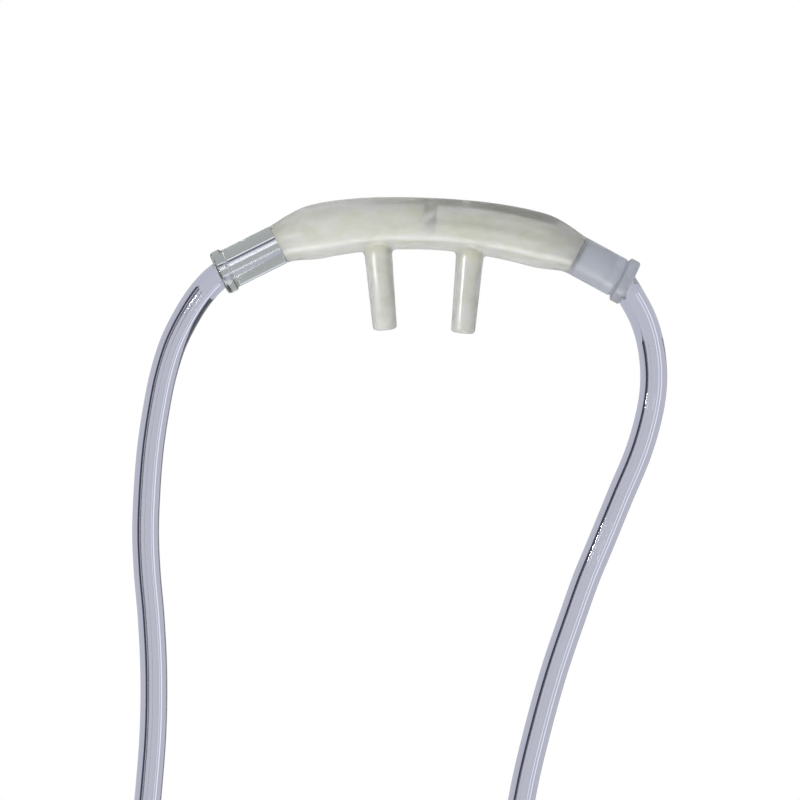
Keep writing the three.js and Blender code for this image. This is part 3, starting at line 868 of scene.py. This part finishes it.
def adapter_corners(sizes, length, flange_diameter, round_front, round_back):
    """The outside of an adapter, from its spigot's inner end to the joint with its tube."""
    spigot = sizes.spigot_diameter / 2
    barrel = sizes.end_diameter / 2
    flange = flange_diameter / 2
    back = length - FLANGE_THICKNESS
    mouth = sizes.tube_diameter / 2 + TUBE_FIT
    return [
        (-SPIGOT_LENGTH, spigot, 0.3 * MM),
        (JOINT_GAP, spigot, 0),
        (JOINT_GAP, barrel, 0.12 * MM),
        (back, barrel, 0.3 * MM),
        (back + 0.25 * MM, flange, round_back),
        (length, flange, round_front),
        (length, mouth, 0.15 * MM),
        (length - JOINT_DEPTH, mouth, 0.05 * MM),
    ]


def left_adapter(sizes):
    """The clear adapter: a glassy barrel with a round bead, bored straight through."""
    bore = sizes.tube_bore / 2
    outside = adapter_corners(sizes, LEFT_ADAPTER_LENGTH, LEFT_FLANGE_DIAMETER, 1.7 * MM, 1.2 * MM)
    corners = [(-SPIGOT_LENGTH, bore, 0.1 * MM), *outside, (LEFT_ADAPTER_LENGTH - JOINT_DEPTH, bore, 0)]
    return turned("clear_adapter_body", rounded(corners), LEFT_END, LEFT_OUTWARD, 128)


def right_adapter(sizes):
    """The frosted adapter: a groove behind its flange, and a wide chamber in its barrel."""
    bore = sizes.tube_bore / 2
    length = RIGHT_ADAPTER_LENGTH
    outside = adapter_corners(sizes, length, RIGHT_FLANGE_DIAMETER, 0.6 * MM, 0.35 * MM)
    barrel = sizes.end_diameter / 2
    groove = length - FLANGE_THICKNESS
    outside[3:4] = [
        (groove - GROOVE_WIDTH, barrel, 0.1 * MM),
        (groove - GROOVE_WIDTH / 2, barrel - GROOVE_DEPTH, 0.08 * MM),
        (groove, barrel, 0.05 * MM),
    ]
    corners = [
        (-SPIGOT_LENGTH, bore, 0.1 * MM), *outside,
        (length - JOINT_DEPTH, bore, 0),
        (CHAMBER_END + CHAMBER_CONE, bore, 0.2 * MM),
        (CHAMBER_END, CHAMBER_RADIUS, 0.3 * MM),
        (CHAMBER_START, CHAMBER_RADIUS, 0.3 * MM),
        (CHAMBER_START - CHAMBER_CONE, bore, 0.2 * MM),
    ]
    return turned("frosted_adapter_body", rounded(corners), RIGHT_END, RIGHT_OUTWARD, 128)


def grip_rings(start, end, low, high, count):
    """The rings that a hand grips on a flare, as corners of its profile."""
    pitch = (end - start) / count
    corners = []
    for i in range(count):
        at = start + i * pitch
        corners += [
            (at, low, 0.2 * MM), (at + pitch * 0.25, high, 0.3 * MM),
            (at + pitch * 0.6, high, 0.3 * MM), (at + pitch * 0.85, low, 0.2 * MM),
        ]
    return corners


def oxygen_connector(sizes):
    """The soft flared connector on the far end of the oxygen tube, with grip ribs on its flare."""
    socket = sizes.tube_diameter / 2 + TUBE_FIT
    corners = [
        (0, socket, 0.2 * MM),
        (0, SLEEVE_RADIUS, 0.6 * MM),
        (SLEEVE_LENGTH, SLEEVE_RADIUS, 1.5 * MM),
        (WAIST_START, WAIST_RADIUS, 1.5 * MM),
        (WAIST_END, WAIST_RADIUS, 1.5 * MM),
        *grip_rings(FLARE_START, GRIP_END, FLARE_RADIUS - GRIP_HEIGHT, FLARE_RADIUS, GRIP_RINGS),
        (OXYGEN_LENGTH, FLARE_RADIUS, 0.6 * MM),
        (OXYGEN_LENGTH, INLET_RADIUS, 0.5 * MM),
        (INLET_FLOOR, INLET_RADIUS, 0.5 * MM),
        (INLET_FLOOR - INLET_TAPER, OXYGEN_BORE_RADIUS, 0.5 * MM),
        (SOCKET_DEPTH, OXYGEN_BORE_RADIUS, 0.1 * MM),
        (SOCKET_DEPTH, socket, 0.1 * MM),
    ]
    return turned("flared_oxygen_connector", rounded(corners), OXYGEN_START, CONNECTOR_WAY, 96)


def luer_connector(sizes):
    """The male luer lock connector on the far end of the sampling tube, with ribs on its collar."""
    socket = sizes.tube_diameter / 2 + TUBE_FIT
    corners = [
        (0, socket, 0.1 * MM),
        (0, BARREL_RADIUS, 0.4 * MM),
        (BARREL_LENGTH, BARREL_RADIUS, 0.8 * MM),
        (COLLAR_START, COLLAR_RADIUS, 0.6 * MM),
        (COLLAR_END, COLLAR_RADIUS, 0.4 * MM),
        (COLLAR_END, COLLAR_INSIDE, 0.2 * MM),
        (COLLAR_FLOOR, COLLAR_INSIDE, 0.3 * MM),
        (COLLAR_FLOOR, TIP_ROOT_RADIUS, 0.3 * MM),
        (LUER_LENGTH, TIP_END_RADIUS, 0.3 * MM),
        (LUER_LENGTH, LUER_BORE_RADIUS, 0.1 * MM),
        (SOCKET_DEPTH, LUER_BORE_RADIUS, 0.1 * MM),
        (SOCKET_DEPTH, socket, 0.1 * MM),
    ]
    connector = turned("luer_lock_connector", rounded(corners), LUER_START, CONNECTOR_WAY, 96)
    ribs = [connector]
    for i in range(COLLAR_RIBS):
        angle = math.tau * i / COLLAR_RIBS
        on_collar = LUER_START + Vector((math.cos(angle), 0, math.sin(angle))) * COLLAR_RADIUS
        first = on_collar + CONNECTOR_WAY * (COLLAR_START + RIB_INSET)
        last = on_collar + CONNECTOR_WAY * (COLLAR_END - RIB_INSET)
        ribs.append(swept("rib", [first, last], [RIB_RADIUS] * 2, 12))
    select_only(*ribs)
    bpy.ops.object.join()
    shade_by_angle(connector, 40)
    return connector


def coil_tie(name, sizes, centre):
    """A flat plastic tie round the section of a coil."""
    half_width = sizes.coil_columns * sizes.turn_pitch / 2 + TIE_GAP
    half_height = sizes.coil_layers * sizes.turn_pitch / 2 + TIE_GAP
    points = []
    for x, z, from_angle in ((1, 1, 0), (-1, 1, 90), (-1, -1, 180), (1, -1, 270)):
        for i in range(7):
            angle = math.radians(from_angle + 90 * i / 6)
            points.append((
                x * (half_width - TIE_CORNER) + TIE_CORNER * math.cos(angle),
                0.0,
                z * (half_height - TIE_CORNER) + TIE_CORNER * math.sin(angle),
            ))
    mesh = bpy.data.meshes.new(name)
    mesh.from_pydata(points, [(i, (i + 1) % len(points)) for i in range(len(points))], [])
    piece = bpy.data.objects.new(name, mesh)
    bpy.context.collection.objects.link(piece)
    select_only(piece)
    bpy.ops.object.mode_set(mode="EDIT")
    bpy.ops.mesh.select_all(action="SELECT")
    bpy.ops.mesh.extrude_edges_move(TRANSFORM_OT_translate={"value": (0, TIE_WIDTH, 0)})
    bpy.ops.mesh.select_all(action="SELECT")
    bpy.ops.mesh.normals_make_consistent(inside=False)
    bpy.ops.object.mode_set(mode="OBJECT")
    add_modifier(piece, "SOLIDIFY", {"thickness": TIE_THICKNESS, "offset": 1.0})
    add_modifier(piece, "BEVEL", {"width": 0.2 * MM, "segments": 3, "limit_method": "ANGLE"})
    height = COIL_FLOOR + sizes.coil_layers * sizes.turn_pitch / 2
    place = Matrix.Translation(centre + Vector((0, 0, height)))
    turn = Matrix.Rotation(TIE_ANGLE, 4, "Z")
    out = Matrix.Translation((sizes.coil_diameter / 2, -TIE_WIDTH / 2, 0))
    piece.data.transform(place @ turn @ out)
    shade_by_angle(piece, 40)
    return piece


def dress(piece, material, slot, *nodes):
    """Gives a finished piece its material, and lets it stand for its CAD nodes."""
    piece.data.materials.clear()
    piece.data.materials.append(material)
    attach(piece, "root")
    if nodes:
        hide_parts(*nodes)


def free_tube(name, sizes, adapter, coil_centre, routes, connector_start, material, nodes):
    """A tube bonded into its adapter and its connector."""
    end, outward, reach, joint = adapter
    in_adapter = end + outward * (reach - SOCKET_DEPTH / 3)
    in_connector = connector_start + CONNECTOR_WAY * (SOCKET_DEPTH - SOCKET_PLAY)
    guides = [in_adapter, *routes[0], *coil_line(sizes, coil_centre), *routes[1], in_connector]
    line = smooth_line(guides, COIL_TUBE_STEP, FINE_LENGTH, FINE_TUBE_STEP)
    line = [p for p in line if (p - end).dot(outward) > reach - joint or p.y < MOUTHS_Y]
    tube = hollow_tube(name, sizes, line)
    shade_by_angle(tube, 50)
    dress(tube, material, "tube_vinyl", *nodes)


def glowing(name, for_camera, glow, through, through_colour):
    """A stage material that gives off its own light.

    Its strengths are what the camera sees of it directly, what it lights, and what is seen of it
    through clear pieces, in a colour of its own, which paints shade and light into what they show.
    """
    material, tree = new_material(name)
    path = add_node(tree, "ShaderNodeLightPath")
    glows = add_node(tree, "ShaderNodeEmission", {"Color": linear(WHITE), "Strength": glow})
    shows = add_node(tree, "ShaderNodeEmission", {"Color": linear(through_colour), "Strength": through})
    plain = add_node(tree, "ShaderNodeEmission", {"Color": linear(WHITE), "Strength": for_camera})
    inner = add_node(tree, "ShaderNodeMixShader", links={
        0: path.outputs["Is Transmission Ray"], 1: glows.outputs[0], 2: shows.outputs[0],
    })
    outer = add_node(tree, "ShaderNodeMixShader", links={
        0: path.outputs["Is Camera Ray"], 1: inner.outputs[0], 2: plain.outputs[0],
    })
    finish_material(tree, outer)
    return material


def shade_and_light_strip(name, line, edges, colour):
    """A glowing strip along a line, seen only through clear pieces: painted shadow when dark, painted
    light when bright.
    """
    points = []
    for i, place in enumerate(line):
        way = line[min(i + 1, len(line) - 1)] - line[max(i - 1, 0)]
        left = Vector((-way.y, way.x, 0)).normalized()
        for distance, drop in edges:
            height = STRIP_HEIGHT if drop is None else place.z - drop
            points.append((place.x + left.x * distance, place.y + left.y * distance, height))
    faces = [(2 * i, 2 * i + 1, 2 * i + 3, 2 * i + 2) for i in range(len(line) - 1)]
    mesh = bpy.data.meshes.new(name)
    mesh.from_pydata(points, [], faces)
    piece = bpy.data.objects.new(name, mesh)
    bpy.context.collection.objects.link(piece)
    piece.data.materials.append(glowing(name, 0.0, 0.0, 1.0, colour))
    piece.visible_camera = False
    piece.visible_diffuse = False
    piece.visible_glossy = False
    piece.visible_shadow = False
    piece.visible_volume_scatter = False


def stretch(route, from_y, to_y):
    """The part of a tube's smooth route between two places along Y."""
    line = smooth_line(route, STRIP_STEP)
    return [p for p in line if to_y <= p.y <= from_y]


def area_light(name, place, target, size, power):
    data = bpy.data.lights.new(name, "AREA")
    data.shape = "RECTANGLE"
    data.size, data.size_y = size
    data.energy = power
    light = bpy.data.objects.new(name, data)
    bpy.context.scene.collection.objects.link(light)
    light.location = place
    light.rotation_euler = (Vector(target) - Vector(place)).to_track_quat("-Z", "Y").to_euler()
    return light


class CANNULA_OT_stage(bpy.types.Operator):
    """Adds the camera, white floor, lights, and strips of painted shadow and light that draw the glassy
    lines
    """

    bl_idname = "cannula.stage"
    bl_label = "Stage"

    def execute(self, context):
        scene = context.scene
        scene.view_settings.view_transform = "Standard"
        camera_data = bpy.data.cameras.new("camera")
        camera_data.lens = LENS_MM
        camera_data.sensor_width = SENSOR_MM
        camera_data.clip_start = 0.01
        camera_data.clip_end = 20
        camera = bpy.data.objects.new("camera", camera_data)
        scene.collection.objects.link(camera)
        distance = VIEW_WIDTH * LENS_MM / SENSOR_MM
        camera.location = (*VIEW_CENTRE, VIEW_PLANE + distance)
        scene.camera = camera
        world = bpy.data.worlds.new("studio")
        world.use_nodes = True
        scene.world = world
        tree = world.node_tree
        tree.nodes.clear()
        path = add_node(tree, "ShaderNodeLightPath")
        seen = add_node(tree, "ShaderNodeBackground", {"Color": linear(WHITE), "Strength": 1.0})
        glow = add_node(tree, "ShaderNodeBackground", {"Color": linear(WHITE), "Strength": WORLD_GLOW})
        mix = add_node(tree, "ShaderNodeMixShader", links={
            0: path.outputs["Is Camera Ray"], 1: glow.outputs[0], 2: seen.outputs[0],
        })
        add_node(tree, "ShaderNodeOutputWorld", links={"Surface": mix.outputs[0]})
        bpy.ops.object.select_all(action="DESELECT")
        bpy.ops.mesh.primitive_plane_add(size=FLOOR_SIZE, location=(0, 0, FLOOR_HEIGHT))
        floor = context.active_object
        floor.name = "floor"
        # Seen through clear pieces, the floor shows the painted shade under them
        floor.data.materials.append(glowing("white_table", 1.0, FLOOR_GLOW, 1.0, FLOOR_SHADE_SEEN_THROUGH))
        # Painted shadow beside each tube and along its edge, and painted light on its other side, seen
        # only through the tube
        for side, route, from_y in (
            ("left", LEFT_TUBE_ROUTE, LEFT_STRIPS_FROM_Y), ("right", RIGHT_TUBE_ROUTE, RIGHT_STRIPS_FROM_Y),
        ):
            lower = stretch(route, from_y, STRIPS_TO_Y)
            shade_and_light_strip(side + "_painted_shadow_strip", lower, DARK_EDGES, PAINTED_SHADOW)
            shade_and_light_strip(side + "_painted_light_strip", stretch(route, 0.0, STRIPS_TO_Y), BRIGHT_EDGES, PAINTED_LIGHT)
            shade_and_light_strip(side + "_edge_shadow_strip", lower, UPRIGHT_EDGES, PAINTED_SHADOW)
        # Painted shadow, painted light and painted shade under the clear adapter, seen only through it
        barrel = [LEFT_END + LEFT_OUTWARD * LEFT_ADAPTER_LENGTH * i / 8 for i in range(9)]
        shade_and_light_strip("adapter_painted_shadow_strip", barrel, ADAPTER_DARK_EDGES, PAINTED_SHADOW)
        shade_and_light_strip("adapter_painted_light_strip", barrel, ADAPTER_BRIGHT_EDGES, PAINTED_LIGHT)
        shade_and_light_strip("adapter_painted_shade_strip", barrel, ADAPTER_GREY_EDGES, PAINTED_SHADE_BELOW)
        area_light("front_softbox", FRONT_PLACE, (0, 0, 0), FRONT_SIZE, FRONT_POWER)
        area_light("window", WINDOW_PLACE, WINDOW_TARGET, WINDOW_SIZE, WINDOW_POWER)
        prong_window = area_light(
            "prong_window", WINDOW_PLACE, WINDOW_TARGET, PRONG_WINDOW_SIZE, PRONG_WINDOW_POWER,
        )
        prong_window.light_linking.receiver_collection = bpy.data.collections.new("soft_pieces")
        return {"FINISHED"}


class CANNULA_OT_nasal_piece(bpy.types.Operator):
    """Adds the soft nasal piece"""

    bl_idname = "cannula.nasal_piece"
    bl_label = "Nasal piece"

    def execute(self, context):
        piece = nasal_piece(context.scene.cannula_sizes)
        dress(piece, milky_vinyl(context.scene.cannula_colours), "nasal_vinyl", "nasal_piece")
        bpy.data.collections["soft_pieces"].objects.link(piece)
        return {"FINISHED"}


class CANNULA_OT_adapters(bpy.types.Operator):
    """Adds the two adapters"""

    bl_idname = "cannula.adapters"
    bl_label = "Adapters"

    def execute(self, context):
        sizes = context.scene.cannula_sizes
        left = left_adapter(sizes)
        dress(left, clear_moulded_plastic(), "clear_adapter", "left_adapter")
        right = right_adapter(sizes)
        dress(right, frosted_moulded_plastic(), "frosted_adapter", "right_adapter")
        return {"FINISHED"}


class CANNULA_OT_tubes(bpy.types.Operator):
    """Adds both tubes with their coils, ties and connectors"""

    bl_idname = "cannula.tubes"
    bl_label = "Tubes"

    def execute(self, context):
        sizes = context.scene.cannula_sizes
        clear = clear_tube_vinyl(context.scene.cannula_colours)
        polythene = white_polythene()
        oxygen = oxygen_connector(sizes)
        dress(oxygen, soft_hazy_vinyl(), "oxygen_vinyl", "oxygen_connector")
        luer = luer_connector(sizes)
        dress(luer, polished_polycarbonate(), "luer_plastic", "luer_connector")
        oxygen_strap = coil_tie("oxygen_coil_strap", sizes, LEFT_COIL_CENTRE)
        dress(oxygen_strap, polythene, "tie_plastic", "left_coil_tie")
        sampling_strap = coil_tie("sampling_coil_strap", sizes, RIGHT_COIL_CENTRE)
        dress(sampling_strap, polythene, "tie_plastic", "right_coil_tie")
        free_tube(
            "oxygen_line", sizes, (LEFT_END, LEFT_OUTWARD, LEFT_ADAPTER_LENGTH, LEFT_JOINT),
            LEFT_COIL_CENTRE, (LEFT_TUBE_ROUTE, LEFT_END_ROUTE), OXYGEN_START, clear,
            ("left_tube", "left_coil", "left_tube_end"),
        )
        free_tube(
            "sampling_line", sizes, (RIGHT_END, RIGHT_OUTWARD, RIGHT_ADAPTER_LENGTH, RIGHT_JOINT),
            RIGHT_COIL_CENTRE, (RIGHT_TUBE_ROUTE, RIGHT_END_ROUTE), LUER_START, clear,
            ("right_tube", "right_coil", "right_tube_end"),
        )
        return {"FINISHED"}


class CANNULA_PT_panel(bpy.types.Panel):
    """The cannula's pieces in the 3D view's sidebar"""

    bl_idname = "CANNULA_PT_panel"
    bl_label = "Cannula"
    bl_space_type = "VIEW_3D"
    bl_region_type = "UI"
    bl_category = "Cannula"

    def draw(self, context):
        for step in STEPS:
            self.layout.operator(step.bl_idname)
        for group in (context.scene.cannula_sizes, context.scene.cannula_colours):
            for name in group.__annotations__:
                self.layout.prop(group, name)


STEPS = [CANNULA_OT_stage, CANNULA_OT_nasal_piece, CANNULA_OT_adapters, CANNULA_OT_tubes]
CLASSES = [CannulaSizes, CannulaColours, *STEPS, CANNULA_PT_panel]


def register():
    for each in CLASSES:
        bpy.utils.register_class(each)
    bpy.types.Scene.cannula_sizes = PointerProperty(type=CannulaSizes)
    bpy.types.Scene.cannula_colours = PointerProperty(type=CannulaColours)


def unregister():
    del bpy.types.Scene.cannula_colours
    del bpy.types.Scene.cannula_sizes
    for each in reversed(CLASSES):
        bpy.utils.unregister_class(each)


def main():
    register()
    bpy.ops.cannula.stage()
    bpy.ops.cannula.nasal_piece()
    bpy.ops.cannula.adapters()
    bpy.ops.cannula.tubes()


if __name__ == "__main__":
    main()
